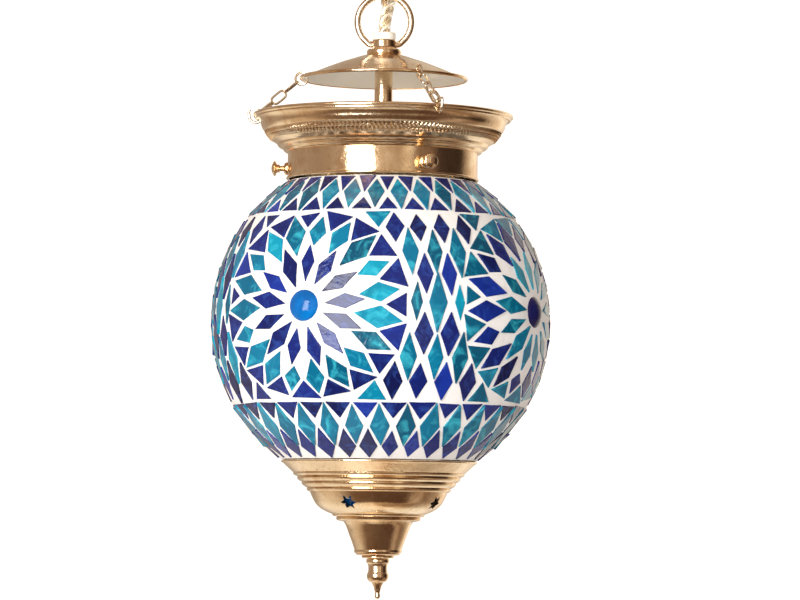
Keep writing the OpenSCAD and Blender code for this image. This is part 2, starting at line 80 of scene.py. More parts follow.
DISTANCE = 2.16
LOOK_UP = math.radians(3.0)
camera_data = bpy.data.cameras.new("camera")
camera_data.lens = 184.3
camera_data.sensor_width = 36
camera_data.clip_start = 0.05
camera_data.clip_end = 60
camera = bpy.data.objects.new("camera", camera_data)
bpy.context.scene.collection.objects.link(camera)
bpy.context.scene.camera = camera
back = Vector((0, -math.cos(LOOK_UP), -math.sin(LOOK_UP)))
camera.location = CENTRE + back * DISTANCE
aim = (-back).to_track_quat("-Z", "Y").to_matrix()
turn = Matrix.Rotation(-math.atan(19.0 / 4096), 3, "Y")
tip = Matrix.Rotation(math.atan(22.5 / 4096), 3, "X")
roll = Matrix.Rotation(math.radians(0.7), 3, "Z")
camera.rotation_mode = "QUATERNION"
camera.rotation_quaternion = (aim @ turn @ tip @ roll).to_quaternion()


# ---- Mesh helpers ------------------------------------------------------------------------


def smoothed(points, step):
    """A fine line through profile points. A point with a third value is a corner."""
    runs, run = [], [points[0]]
    for p in points[1:]:
        run.append(p)
        if len(p) > 2:
            runs.append(run)
            run = [p]
    if len(run) > 1:
        runs.append(run)
    line = [Vector(points[0][:2])]
    for run in runs:
        q = [Vector(p[:2]) for p in run]
        for i in range(len(q) - 1):
            a, b = q[i], q[i + 1]
            before = q[i - 1] if i else a + (a - b)
            after = q[i + 2] if i + 2 < len(q) else b + (b - a)
            if i == 0 and len(q) > 2:
                bend = (b - a).length / max((q[2] - b).length, 1e-6)
                before = a + (a - b) * 0.6 + (b - q[2]) * 0.4 * bend
            span = (b - a).length
            m1 = (b - before) * (span / max((b - a).length + (a - before).length, 1e-9))
            m2 = (after - a) * (span / max((after - b).length + (b - a).length, 1e-9))
            n = max(1, round(span / step))
            for k in range(1, n + 1):
                t = k / n
                h00, h10 = 2 * t**3 - 3 * t**2 + 1, t**3 - 2 * t**2 + t
                h01, h11 = -2 * t**3 + 3 * t**2, t**3 - t**2
                line.append(h00 * a + h10 * m1 + h01 * b + h11 * m2)
    return line


def offset(line, t):
    """The line moved t to the left of its direction."""
    out = []
    for i, p in enumerate(line):
        a = line[max(i - 1, 0)]
        b = line[min(i + 1, len(line) - 1)]
        d = (b - a).normalized()
        out.append(p + Vector((-d.y, d.x)) * t)
    return out


def arc_line(centre, r, start, end, n):
    """n + 1 points on an arc, with its ends given in degrees."""
    return [
        Vector((centre[0] + r * math.cos(math.radians(start + (end - start) * i / n)),
                centre[1] + r * math.sin(math.radians(start + (end - start) * i / n))))
        for i in range(n + 1)
    ]


def make(name, shape, materials, body, nodes=(), sharp=35, index=None, smooth=True, at=place):
    """One object from a shape's vertices and faces, riding its body and standing for CAD nodes."""
    mesh = bpy.data.meshes.new(name)
    mesh.from_pydata([tuple(at(v)) for v in shape[0]], [], shape[1])
    mesh.validate()
    for m in materials:
        mesh.materials.append(m)
    if smooth:
        mesh.polygons.foreach_set("use_smooth", [True] * len(mesh.polygons))
    if index is not None:
        mesh.polygons.foreach_set("material_index", index)
    mesh.update()
    obj = bpy.data.objects.new(name, mesh)
    bpy.context.scene.collection.objects.link(obj)
    if smooth and sharp:
        mesh.set_sharp_from_angle(angle=math.radians(sharp))
    if body:
        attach(obj, body)
    if nodes:
        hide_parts(*nodes)
    return obj


def revolve(profile, seg, relief=None, closed=True):
    """Vertices and faces of a profile of (r, z) turned about the axis, outside on its right."""
    verts, rows = [], []
    for i, p in enumerate(profile):
        if p[0] < 1e-6:
            rows.append([len(verts)])
            verts.append(Vector((0, 0, p[1])))
            continue
        rows.append(list(range(len(verts), len(verts) + seg)))
        for k in range(seg):
            a = TAU * k / seg
            r, z = p[0], p[1]
            if relief:
                dr, dz = relief(i, a)
                r, z = r + dr, z + dz
            verts.append(Vector((r * math.cos(a), r * math.sin(a), z)))
    faces = []
    count = len(rows)
    for i in range(count if closed else count - 1):
        a, b = rows[i], rows[(i + 1) % count]
        if len(a) == 1 and len(b) == 1:
            continue
        for k in range(seg):
            n = (k + 1) % seg
            if len(a) == 1:
                faces.append((a[0], b[n], b[k]))
            elif len(b) == 1:
                faces.append((a[k], a[n], b[0]))
            else:
                faces.append((a[k], a[n], b[n], b[k]))
    return verts, faces


def transformed(matrix, shape):
    """A shape's vertices and faces with a matrix applied."""
    return [matrix @ p for p in shape[0]], shape[1]


def lathe(name, profile, seg, material, body, nodes=(), move=None, relief=None, closed=True):
    """A turned piece, made from its profile."""
    shape = revolve(profile, seg, relief, closed)
    if move:
        shape = transformed(move, shape)
    return make(name, shape, [material], body, nodes)


def sweep(path, radius, sides, closed=False):
    """A round wire along a path of 3-D points. radius may be a function of the share of the way."""
    pts = [Vector(p) for p in path]
    n = len(pts)
    tangents = []
    for i in range(n):
        a = pts[i - 1] if i or closed else pts[0]
        b = pts[(i + 1) % n] if i < n - 1 or closed else pts[-1]
        tangents.append((b - a).normalized())
    up = Vector((0, 0, 1)) if abs(tangents[0].z) < 0.9 else Vector((0, 1, 0))
    u = tangents[0].cross(up).normalized()
    frames = []
    for i, t in enumerate(tangents):
        u = (u - t * u.dot(t)).normalized()
        frames.append((u.copy(), t.cross(u)))
    if closed:
        end = frames[-1][0]
        back_u = (end - tangents[0] * end.dot(tangents[0])).normalized()
        twist = math.atan2(back_u.dot(frames[0][1]), back_u.dot(frames[0][0]))
        frames = [
            (u * math.cos(-twist * i / n) + v * math.sin(-twist * i / n),
             v * math.cos(-twist * i / n) - u * math.sin(-twist * i / n))
            for i, (u, v) in enumerate(frames)
        ]
    verts, faces = [], []
    for i, p in enumerate(pts):
        r = radius(i / max(n - 1, 1)) if callable(radius) else radius
        u, v = frames[i]
        for k in range(sides):
            a = TAU * k / sides
            verts.append(p + (u * math.cos(a) + v * math.sin(a)) * r)
    for i in range(n if closed else n - 1):
        j = (i + 1) % n
        for k in range(sides):
            m = (k + 1) % sides
            faces.append((i * sides + k, i * sides + m, j * sides + m, j * sides + k))
    if not closed:
        faces.append(tuple(range(sides - 1, -1, -1)))
        faces.append(tuple((n - 1) * sides + k for k in range(sides)))
    return verts, faces


def join(parts):
    """One list of vertices and faces from several."""
    verts, faces = [], []
    for v, f in parts:
        base = len(verts)
        verts += v
        faces += [tuple(i + base for i in face) for face in f]
    return verts, faces


def spline(points, n):
    """n points on a smooth curve through the given ones, evenly enough spaced."""
    q = [Vector(p) for p in points]
    fine = []
    for i in range(len(q) - 1):
        a, b = q[i], q[i + 1]
        m1 = (b - q[i - 1]) / 2 if i else (b - a)
        m2 = (q[i + 2] - a) / 2 if i + 2 < len(q) else (b - a)
        for k in range(16):
            t = k / 16
            fine.append((2 * t**3 - 3 * t**2 + 1) * a + (t**3 - 2 * t**2 + t) * m1
                        + (-2 * t**3 + 3 * t**2) * b + (t**3 - t**2) * m2)
    fine.append(q[-1])
    along = [0.0]
    for a, b in zip(fine, fine[1:]):
        along.append(along[-1] + (b - a).length)
    out, j = [], 0
    for k in range(n):
        s = along[-1] * k / (n - 1)
        while j < len(along) - 2 and along[j + 1] < s:
            j += 1
        t = (s - along[j]) / max(along[j + 1] - along[j], 1e-9)
        out.append(fine[j].lerp(fine[j + 1], min(max(t, 0), 1)))
    return out, along[-1]


# ---- Materials ---------------------------------------------------------------------------


def fill_ramp(node, stops):
    """Sets a colour ramp's stops, given in rising order."""
    elements = node.color_ramp.elements
    elements[0].position, elements[1].position = stops[0][0], stops[-1][0]
    elements[0].color, elements[1].color = (*stops[0][1], 1), (*stops[-1][1], 1)
    for position, colour in stops[1:-1]:
        elements.new(position).color = (*colour, 1)


class Maker:
    """A small helper that builds one material's node tree."""

    def __init__(self, name):
        self.material = bpy.data.materials.new(name)
        self.material.use_nodes = True
        self.tree = self.material.node_tree
        self.tree.nodes.clear()
        self.out = self.add("ShaderNodeOutputMaterial")
        self.shader = self.add("ShaderNodeBsdfPrincipled")
        self.tree.links.new(self.shader.outputs[0], self.out.inputs[0])

    def add(self, kind, **values):
        node = self.tree.nodes.new(kind)
        for key, value in values.items():
            if hasattr(node, key):
                setattr(node, key, value)
        return node

    def link(self, a, b):
        self.tree.links.new(a, b)

    def set(self, **values):
        for key, value in values.items():
            socket = self.shader.inputs[key.replace("_", " ")]
            if hasattr(value, "is_linked"):
                self.link(value, socket)
            elif isinstance(value, tuple) and len(value) == 3:
                socket.default_value = (*value, 1)
            else:
                socket.default_value = value

    def coords(self):
        return self.add("ShaderNodeTexCoord").outputs["Object"]

    def math(self, op, a, b=None):
        node = self.add("ShaderNodeMath", operation=op)
        for i, v in enumerate((a, b)):
            if v is None:
                continue
            if hasattr(v, "is_linked"):
                self.link(v, node.inputs[i])
            else:
                node.inputs[i].default_value = v
        return node.outputs[0]

    def noise(self, vector, scale, detail=2, rough=0.5, distortion=0.0):
        node = self.add("ShaderNodeTexNoise")
        self.link(vector, node.inputs["Vector"])
        node.inputs["Scale"].default_value = scale
        node.inputs["Detail"].default_value = detail
        node.inputs["Roughness"].default_value = rough
        node.inputs["Distortion"].default_value = distortion
        return node.outputs["Fac"]

    def ramp(self, fac, stops):
        node = self.add("ShaderNodeValToRGB")
        self.link(fac, node.inputs[0])
        fill_ramp(node, stops)
        return node.outputs[0]

    def grey(self, fac, low, high, a=0.3, b=0.7):
        node = self.add("ShaderNodeMapRange")
        self.link(fac, node.inputs["Value"])
        node.inputs["From Min"].default_value = a
        node.inputs["From Max"].default_value = b
        node.inputs["To Min"].default_value = low
        node.inputs["To Max"].default_value = high
        return node.outputs["Result"]

    def mix(self, fac, a, b):
        node = self.add("ShaderNodeMix", data_type="RGBA")
        for socket, v in ((node.inputs[0], fac), (node.inputs[6], a), (node.inputs[7], b)):
            if hasattr(v, "is_linked"):
                self.link(v, socket)
            elif isinstance(v, (int, float)):
                socket.default_value = v
            else:
                socket.default_value = (*v, 1)
        return node.outputs[2]

    def bump(self, height, strength, distance, normal=None):
        node = self.add("ShaderNodeBump")
        node.inputs["Strength"].default_value = strength
        node.inputs["Distance"].default_value = distance
        self.link(height, node.inputs["Height"])
        if normal:
            self.link(normal, node.inputs["Normal"])
        return node.outputs["Normal"]

    def rings(self, vector, scale):
        """Coordinates that change along a turned profile, and hardly round it."""
        split = self.add("ShaderNodeSeparateXYZ")
        self.link(vector, split.inputs[0])
        r = self.math("SQRT", self.math("ADD", self.math("MULTIPLY", split.outputs[0], split.outputs[0]),
                                        self.math("MULTIPLY", split.outputs[1], split.outputs[1])))
        both = self.add("ShaderNodeCombineXYZ")
        self.link(self.math("MULTIPLY", r, scale), both.inputs[0])
        self.link(self.math("MULTIPLY", split.outputs[2], scale), both.inputs[1])
        self.link(self.math("MULTIPLY", split.outputs[0], scale * 0.012), both.inputs[2])
        return both.outputs[0]


def brass(name, light=(0.95, 0.77, 0.54), deep=(0.76, 0.53, 0.32), low=0.06, high=0.2, turned=True):
    """Polished brass: a warm tone with cloudy patches, smears, fine spots and turning lines."""
    m = Maker(name)
    at = m.coords()
    cloud = m.noise(at, 45, 4, 0.6, 0.6)
    spots = m.noise(at, 380, 3, 0.65)
    smudge = m.noise(at, 110, 5, 0.7)
    tone = m.ramp(cloud, [(0.36, deep), (0.56, light)])
    tone = m.mix(m.grey(spots, 0.0, 0.55, 0.58, 0.76), tone, (0.42, 0.24, 0.12))
    worn = m.math("ADD", m.math("MULTIPLY", smudge, 0.65), m.math("MULTIPLY", spots, 0.35))
    m.set(Base_Color=tone, Metallic=1.0, Roughness=m.grey(worn, low, high, 0.38, 0.66))
    dents = m.bump(smudge, 0.3, 0.0007)
    if turned:
        lines = m.noise(m.rings(at, 1.0), 2600, 2, 0.6)
        dents = m.bump(lines, 0.08, 0.00006, dents)
    m.set(Normal=m.bump(m.noise(at, 900, 3, 0.6), 0.05, 0.0001, dents))
    return m.material


def plain(name, colour, other, rough=(0.35, 0.5), scale=300, bump=0.1, metallic=0.0, coat=0.0, glow=0.0):
    """Moulded plastic, rubber, ceramic or plated metal, with its slight mottle."""
    m = Maker(name)
    at = m.coords()
    cloud = m.noise(at, scale, 4, 0.6)
    fine = m.noise(at, scale * 6, 2, 0.5)
    m.set(Base_Color=m.ramp(cloud, [(0.35, colour), (0.65, other)]), Metallic=metallic,
          Roughness=m.grey(cloud, rough[0], rough[1]), Normal=m.bump(fine, bump, 0.0001))
    if coat:
        m.set(Coat_Weight=coat, Coat_Roughness=0.05)
    if glow:
        m.set(Emission_Color=colour, Emission_Strength=glow)
    return m.material


def tile_glass(name, dark, mid, bright, glow, streak=150, lift=0.5):
    """Cut coloured glass: each piece has its own depth of colour, with streaks that are partly the glass's
    own and partly painted glints of light through it, and a wavy face.
    """
    m = Maker(name)
    at = m.coords()
    piece = m.add("ShaderNodeNewGeometry").outputs["Random Per Island"]
    shift = m.add("ShaderNodeVectorMath", operation="ADD")
    m.link(at, shift.inputs[0])
    offset_by = m.add("ShaderNodeCombineXYZ")
    m.link(m.math("MULTIPLY", piece, 0.7), offset_by.inputs[0])
    m.link(m.math("MULTIPLY", piece, 1.9), offset_by.inputs[2])
    m.link(offset_by.outputs[0], shift.inputs[1])
    moved = shift.outputs[0]
    wave = m.noise(moved, streak, 3, 0.55, 1.2)
    tone = m.ramp(piece, [(0.0, dark), (0.45, mid), (0.8, mid), (1.0, bright)])
    # Painted glints: the glow colour mixed in along noise streaks is partly the glass's own streaking and
    # partly painted light shining through the glass.
    tone = m.mix(m.grey(wave, 0.0, lift, 0.48, 0.74), tone, glow)
    tone = m.mix(m.grey(m.noise(moved, streak * 0.45, 2, 0.5, 0.6), 0.45, 0.0, 0.3, 0.52), tone, dark)
    seeds = m.noise(moved, 2600, 1, 0.5)
    m.set(Base_Color=tone, Roughness=m.grey(m.noise(at, 500, 3, 0.6), 0.04, 0.16), IOR=1.52,
          Specular_IOR_Level=0.34, Coat_Weight=0.1, Coat_Roughness=0.03)
    ripple = m.noise(moved, 240, 3, 0.6)
    normal = m.bump(seeds, 0.06, 0.00005)
    m.set(Normal=m.bump(ripple, 0.4, 0.0009, normal))
    return m.material


def clear(name, colour, rough, ior=1.5):
    m = Maker(name)
    at = m.coords()
    m.set(Base_Color=colour, Roughness=m.grey(m.noise(at, 200, 3, 0.6), rough, rough + 0.06),
          Transmission_Weight=1.0, IOR=ior, Normal=m.bump(m.noise(at, 90, 2, 0.5), 0.08, 0.0006))
    return m.material


BRASS = brass("brass_spun", low=0.09, high=0.23)
BRASS_CAST = brass("brass_turned_small", low=0.08, high=0.22, turned=False)
# Paler brass for the ring, chains and hooks: the pale tone is partly the wire's own colour and partly a
# painted highlight, standing for the near-white glare on these thin wires.
BRASS_WIRE = brass("brass_wire", light=(0.97, 0.88, 0.74), deep=(0.9, 0.76, 0.58), low=0.1, high=0.24,
                   turned=False)
# Not physical: without the glow the underside came out grey where the photo shows cream.
BRASS_PALE = plain("brass_underside", (0.97, 0.92, 0.8), (0.9, 0.82, 0.66), (0.4, 0.55), 60, 0.05, 0.15,
                   glow=0.22)
STEEL = plain("zinc_plate", (0.6, 0.6, 0.58), (0.72, 0.72, 0.7), (0.25, 0.4), 200, 0.1, 1.0)
IVORY = plain("ivory_plastic", (0.86, 0.82, 0.72), (0.9, 0.87, 0.79), (0.3, 0.42), 160, 0.05)
PHENOLIC = plain("black_phenolic", (0.025, 0.022, 0.02), (0.04, 0.036, 0.033), (0.22, 0.36), 240, 0.06)
CERAMIC = plain("white_ceramic", (0.85, 0.85, 0.82), (0.9, 0.9, 0.88), (0.12, 0.2), 120, 0.04, coat=0.5)
RUBBER = plain("black_rubber", (0.03, 0.03, 0.03), (0.05, 0.05, 0.05), (0.6, 0.8), 500, 0.3)
ALUMINIUM = plain("bulb_cap_metal", (0.75, 0.75, 0.74), (0.85, 0.85, 0.84), (0.2, 0.34), 260, 0.08, 1.0)
FROSTED = plain("frosted_bulb", (0.9, 0.89, 0.86), (0.95, 0.94, 0.91), (0.25, 0.35), 90, 0.02, coat=0.4)
GLASS = clear("blown_glass", (0.93, 0.97, 0.96), 0.02)
PVC = clear("clear_pvc", (0.98, 0.95, 0.88), 0.14, 1.4)
STRANDS = brass("golden_strands", light=(0.98, 0.92, 0.8), deep=(0.93, 0.82, 0.64), low=0.3, high=0.5,
                turned=False)
COBALT = tile_glass(
    "cobalt_glass", (0.003, 0.006, 0.05), (0.005, 0.014, 0.135), (0.008, 0.03, 0.28), (0.03, 0.09, 0.4))
TURQUOISE = tile_glass(
    "turquoise_glass", (0.0, 0.06, 0.12), (0.0, 0.15, 0.27), (0.0, 0.29, 0.42), (0.05, 0.56, 0.68),
    streak=110, lift=0.62)
CABOCHON = tile_glass(
    "cabochon_glass", (0.0, 0.04, 0.17), (0.0, 0.1, 0.36), (0.0, 0.13, 0.44), (0.0, 0.22, 0.6), 90)
CABOCHON_DARK = tile_glass(
    "cabochon_dark_glass", (0.003, 0.003, 0.02), (0.006, 0.006, 0.05), (0.01, 0.01, 0.08),
    (0.01, 0.02, 0.12), 90)
STAR_GLASS = tile_glass(
    "star_blue_glass", (0.0, 0.012, 0.05), (0.0, 0.02, 0.08), (0.0, 0.04, 0.12), (0.0, 0.09, 0.2), 300)


def grout():
    m = Maker("white_grout")
    at = m.coords()
    cloud = m.noise(at, 45, 4, 0.6)
    grain = m.noise(at, 1800, 4, 0.7)
    pits = m.noise(at, 700, 2, 0.5)
    tone = m.ramp(cloud, [(0.3, (0.8, 0.79, 0.77)), (0.7, (0.87, 0.865, 0.85))])
    tone = m.mix(m.grey(pits, 0.0, 0.5, 0.66, 0.8), tone, (0.62, 0.6, 0.56))
    normal = m.bump(grain, 0.25, 0.0001)
    m.set(Base_Color=tone, Roughness=m.grey(grain, 0.45, 0.7), Normal=m.bump(pits, 0.3, 0.0002, normal))
    return m.material


GROUT = grout()

# ---- Cord --------------------------------------------------------------------------------

CORD_D = 6.3
ROUTE = [
    (0, 0, 152.2), (0, 0.1, 153.4), (0.1, 0.5, 155.4), (0.3, 1.5, 158.2), (0.7, 3.1, 161.2),
    (1.3, 5.2, 164.4), (2, 7.6, 167.8), (2.7, 9.7, 171.2), (3.4, 11.2, 175.2), (4, 12.2, 179.6),
    (4.8, 13.2, 184), (5.5, 13.9, 187.6), (5.9, 14.3, 191), (5.9, 14.3, 196), (5.9, 14.3, 201),
]
line, cord_length = spline(ROUTE, 60)
sheath = sweep(line, CORD_D / 2, 24)
flex = make("flex_sheath", sheath, [PVC], None, ["flex_cord"])


def twisted(side):
    """One of the two twisted conductors inside the clear sheath."""
    pts = []
    for i, p in enumerate(line):
        a = line[max(i - 1, 0)]
        b = line[min(i + 1, len(line) - 1)]
        d = (b - a).normalized()
        u = d.cross(Vector((0, 1, 0))).normalized()
        v = d.cross(u)
        turn_by = i / (len(line) - 1) * cord_length / 15 * TAU + side * math.pi
        pts.append(p + (u * math.cos(turn_by) + v * math.sin(turn_by)) * 1.3)
    return sweep(pts, 1.25, 12)


strands = make("flex_strands", join([twisted(0), twisted(1)]), [STRANDS], None)
for piece in (flex, strands):
    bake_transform(piece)

# ---- Bell, hub and ring ------------------------------------------------------------------

BELL_SEG = 256
bell_line = smoothed([(9.2, 141.6), (12.5, 140.7), (17, 139.2), (22.5, 137.4), (32, 133.7),
                      (38.5, 131.0), (43.2, 129.2)], 0.8)
under = offset(bell_line, -0.8)
rim = arc_line((43.7, 128.9), 0.9, 120, -150, 10)
profile = [Vector((5, 141.6))] + bell_line + rim + under[::-1] + [Vector((5, 140.8))]
sheet = revolve(profile[::-1], BELL_SEG)
inside = (len(under) + 1) * BELL_SEG
index = [1 if f < inside else 0 for f in range(len(sheet[1]))]
make("smoke_bell_sheet", sheet, [BRASS, BRASS_PALE], "lamp_frame", ["smoke_bell"], index=index)

hub = smoothed([
    (3.5, 141.6, 1), (8.5, 141.6, 1), (9.0, 142.0), (9.1, 142.9), (8.9, 144.0), (8.1, 144.7, 1),
    (6.9, 144.9, 1),
    (6.3, 145.6), (6.2, 147.4), (6.2, 149.0), (5.9, 149.5), (5.4, 149.6, 1), (3.5, 149.6, 1)], 0.35)
lathe("loop_hub_turned", hub, 96, BRASS, "lamp_frame", ["loop_hub"])
bush = smoothed([(3.5, 149.6, 1), (5.7, 149.6, 1), (6.0, 149.9), (6.05, 151.4), (6.0, 152.9), (5.6, 153.5),
                 (5.0, 153.6, 1), (4.5, 152.4), (3.9, 151.2), (3.5, 150.4, 1)], 0.3)
lathe("hub_bush_moulded", bush, 72, IVORY, "lamp_frame", ["hub_bush"])

RING_R, RING_Z, PIVOT_Z = 14.2, 159.2, 147.2
ring_pts = [(4.5, 0, PIVOT_Z), (6.6, 0, PIVOT_Z), (7.9, 0, PIVOT_Z + 0.25), (8.9, 0, PIVOT_Z + 1.0)]
for i in range(0, 61):
    a = math.radians(-38 + (180 + 76) * i / 60)
    ring_pts.append((RING_R * math.cos(a), 0, RING_Z + RING_R * math.sin(a)))
ring_pts += [(-8.9, 0, PIVOT_Z + 1.0), (-7.9, 0, PIVOT_Z + 0.25), (-6.6, 0, PIVOT_Z), (-4.5, 0, PIVOT_Z)]
wire = sweep(spline(ring_pts, 150)[0], 1.68, 20)
make("hanging_ring_wire", wire, [BRASS_WIRE], "hanging_ring", ["hanging_ring"])

# ---- Ceiling fitting ---------------------------------------------------------------------

CEILING = level(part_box("ceiling_plate")[1].z)
CANOPY = level(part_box("canopy_cup")[0].z)
side_z = CEILING - 6
turned_in = [math.radians(a) for a in range(-90, 1, 5)]
outer = [Vector((2.2, CANOPY)), Vector((10, CANOPY)), Vector((18, CANOPY))]
outer += [Vector((24 + 23 * math.cos(a), side_z + (side_z - CANOPY) * math.sin(a))) for a in turned_in]
outer += [Vector((47, CEILING - 1.4)), Vector((46.8, CEILING - 0.5)), Vector((46.3, CEILING))]
inner = offset(outer, 0.9)
inner[-1] = Vector((45.9, CEILING))
lathe("canopy_spun", outer + inner[::-1], 192, BRASS, "ceiling_fitting", ["canopy_cup"])

nut = smoothed([
    (2.1, CANOPY - 4, 1), (3.4, CANOPY - 4, 1), (4.4, CANOPY - 3.7), (5.2, CANOPY - 2.8),
    (5.6, CANOPY - 1.4, 1),
    (6.0, CANOPY - 1.2), (6.0, CANOPY - 0.3), (5.8, CANOPY, 1), (2.1, CANOPY, 1)], 0.3)
lathe("canopy_nut_turned", nut, 72, BRASS_CAST, "ceiling_fitting", ["canopy_nut"])

HOOK_R = 5.5
hook_z = RING_Z + RING_R - 1.7 - 2 - 0.1 + HOOK_R
bent = [math.radians(a) for a in range(150, 441, 6)]
hook_pts = [(0, -HOOK_R * math.cos(a), hook_z + HOOK_R * math.sin(a)) for a in bent]
hook_pts += [(0, -0.35, hook_z + HOOK_R + 0.7), (0, 0, hook_z + HOOK_R + 2.2),
             (0, 0, hook_z + HOOK_R + 5), (0, 0, CEILING - 2.2)]
wire = sweep(spline(hook_pts, 150)[0], lambda t: 2.0 * min(1, 0.55 + t * 40) if t < 0.012 else 2.0, 20)
make("ceiling_hook_wire", wire, [BRASS_WIRE], "ceiling_fitting", ["ceiling_hook"])

# ---- Side chains -------------------------------------------------------------------------


def chain_matrix(k):
    """Turns shapes drawn in the XZ plane, X outwards, to one chain's direction."""
    p = joints[f"chain_swing_{k}"]["pos_m"]
    return Matrix.Rotation(math.atan2(p[1], p[0]), 4, "Z")


def loop(half_length, half_width, wire, sides=10, n=44):
    """A closed oval link about the origin, long along X, in the XY plane."""
    pts = []
    straight = half_length - half_width
    for i in range(n):
        a = TAU * i / n
        x, y = half_width * math.cos(a), half_width * math.sin(a)
        along = math.copysign(straight, x) * min(1, abs(math.cos(a)) * 3)
        pts.append((x + along, y * (1 - 0.06 * math.cos(2 * a)), 0))
    return sweep(pts, wire, sides, closed=True)


CHAIN_WIRE, HOOK_WIRE = 0.6, 0.7
JUMP_R, RIM_HOOK_R = 3.2, 3.5
BELL_BEAD, RIM_BEAD = Vector((43.7, 0, 128.9)), Vector((67.8, 0, 108.9))
for k in (1, 2, 3):
    turn_to = chain_matrix(k)
    run = RIM_BEAD - BELL_BEAD
    tilt = Matrix.Rotation(-math.atan2(run.z, run.x), 4, "Y")
    about = [TAU * i / 40 for i in range(40)]
    jump = [BELL_BEAD + Vector((JUMP_R * math.cos(a), 0, JUMP_R * math.sin(a))) for a in about]
    shape = sweep([turn_to @ p for p in jump], CHAIN_WIRE, 10, closed=True)
    make(f"jump_ring_wire_{k}", shape, [BRASS_WIRE], f"chain_{k}", [f"jump_ring_{k}"])
    start = JUMP_R - 2 * CHAIN_WIRE
    end = run.length - (RIM_HOOK_R - HOOK_WIRE - CHAIN_WIRE)
    pitch = (end - start + 2 * 2 * CHAIN_WIRE) / 3
    parts = []
    for i in range(3):
        move = (turn_to @ Matrix.Translation(BELL_BEAD) @ tilt
                @ Matrix.Translation((start + i * (pitch - 2 * CHAIN_WIRE) + pitch / 2, 0, 0))
                @ Matrix.Rotation(math.radians((0, 82, 8)[i]), 4, "X"))
        parts.append(transformed(move, loop(pitch / 2 - CHAIN_WIRE, 2.0, CHAIN_WIRE)))
    make(f"chain_links_wire_{k}", join(parts), [BRASS_WIRE], f"chain_{k}", [f"chain_links_{k}"])
    bent = [math.radians(a) for a in range(100, 361, 10)]
    pts = [RIM_BEAD + Vector((RIM_HOOK_R * math.cos(a), 0, RIM_HOOK_R * math.sin(a))) for a in bent]
    pts += [RIM_BEAD + Vector(q) for q in ((3.55, 0, 0.7), (3.75, 0, 1.8), (3.6, 0, 2.9), (3.1, 0, 3.7))]
    shape = sweep([turn_to @ p for p in spline(pts, 60)[0]], HOOK_WIRE, 12)
    make(f"rim_hook_wire_{k}", shape, [BRASS_WIRE], f"chain_{k}", [f"rim_hook_{k}"])

# ---- Gallery -----------------------------------------------------------------------------

COLLAR = 50.2
BAND_LOW, BAND_HIGH = 95.4, 100.8
outside = smoothed([
    (COLLAR, 76.2, 1), (COLLAR, 82), (COLLAR, 89.1, 1), (51.2, 89.3), (52.3, 90.0), (52.9, 91.1, 1),
    (53.6, 91.5, 1), (54.7, 91.9), (55.6, 92.8), (56.0, 93.8, 1), (57.0, 94.4, 1), (58.5, 95.5, 1),
    (60.6, 98.0), (62.4, 100.5, 1), (63.2, 100.9), (64.2, 102.6), (64.8, 104.6), (65.4, 105.9),
    (66.2, 106.8, 1)], 0.42)
lip = (arc_line((66.9, 107.5), 0.85, -125, 20, 8)[1:] + arc_line(tuple(RIM_BEAD.xz), 1.0, -60, 190, 14))
bead = arc_line((COLLAR, 75.5), 0.7, -150, 78, 10)
within = offset(outside, 0.85)
gallery_profile = bead + outside + lip + within[::-1] + [Vector((COLLAR - 0.85, 75.3))]
band_rows = {len(bead) + i for i, p in enumerate(outside) if BAND_LOW < p.y < BAND_HIGH}
ZIGS = 86
GALLERY_SEG = 864


def emboss(i, a):
    """Two crossing zigzags pressed outwards in the flare's band."""
    if i not in band_rows:
        return 0.0, 0.0
    p = gallery_profile[i]
    u = (p.y - (BAND_LOW + BAND_HIGH) / 2) / (BAND_HIGH - BAND_LOW) * 2
    share = (a / TAU * ZIGS) % 1
    wave = 1 - 4 * abs(share - 0.5)
    lift = max(math.exp(-(((u - 0.66 * wave) / 0.27) ** 2)), math.exp(-(((u + 0.66 * wave) / 0.27) ** 2)))
    lift = 0.72 * lift * min(1, (1 - abs(u)) * 6)
    return lift * 0.77, -lift * 0.64


lathe("gallery_spun", gallery_profile, GALLERY_SEG, BRASS, "globe_assembly", ["gallery"],
      relief=emboss)

# ---- Thumb screws ------------------------------------------------------------------------

for k in (1, 2, 3):
    j = joints[f"thumb_turn_{k}"]
    axis = Vector(j["axis"])
    out = axis.to_track_quat("Z", "Y").to_matrix().to_4x4()
    z = level(j["pos_m"][2])
    home = Matrix.Translation((0, 0, z)) @ out
    shank = [(0, 46.3), (0.9, 46.35), (1.4, 46.8)]
    for n in range(24):
        shank += [(1.5, 47.2 + n * 0.3), (1.32, 47.35 + n * 0.3)]
    shank += [(1.5, 54.6), (0, 54.6)]
    lathe(f"thumb_shank_turned_{k}", shank, 24, BRASS_CAST, f"screw_shank_{k}", [f"thumb_shank_{k}"],
          move=home, closed=False)
    seat = smoothed([
        (1.52, COLLAR - 0.1, 1), (3.3, COLLAR - 0.1, 1), (3.35, COLLAR + 0.6), (3.0, COLLAR + 1.5),
        (2.3, COLLAR + 2.0), (1.56, COLLAR + 2.1, 1)], 0.3)
    lathe(f"screw_seat_{k}", seat, 48, BRASS_CAST, "globe_assembly", move=home)
    head = smoothed([
        (0, 54.6, 1), (1.9, 54.6, 1), (2.3, 55.0), (2.0, 55.6), (2.5, 56.2), (3.6, 56.8), (3.9, 57.3),
        (3.6, 57.8), (2.7, 58.3), (1.6, 58.8), (0, 59, 1)], 0.25)

    def knurl(i, a, head=head):
        return (0.12 * max(0, math.cos(20 * a)) if head[i].x > 3.3 else 0.0), 0.0

    lathe(f"thumb_head_turned_{k}", head, 120, BRASS_CAST, f"screw_head_{k}", [f"thumb_head_{k}"],
          move=home, relief=knurl, closed=False)

# ---- Mosaic ------------------------------------------------------------------------------

random.seed(7)
A_AZ, LAT = -26.3, 2.6
BAND_AZ = A_AZ + 45.3


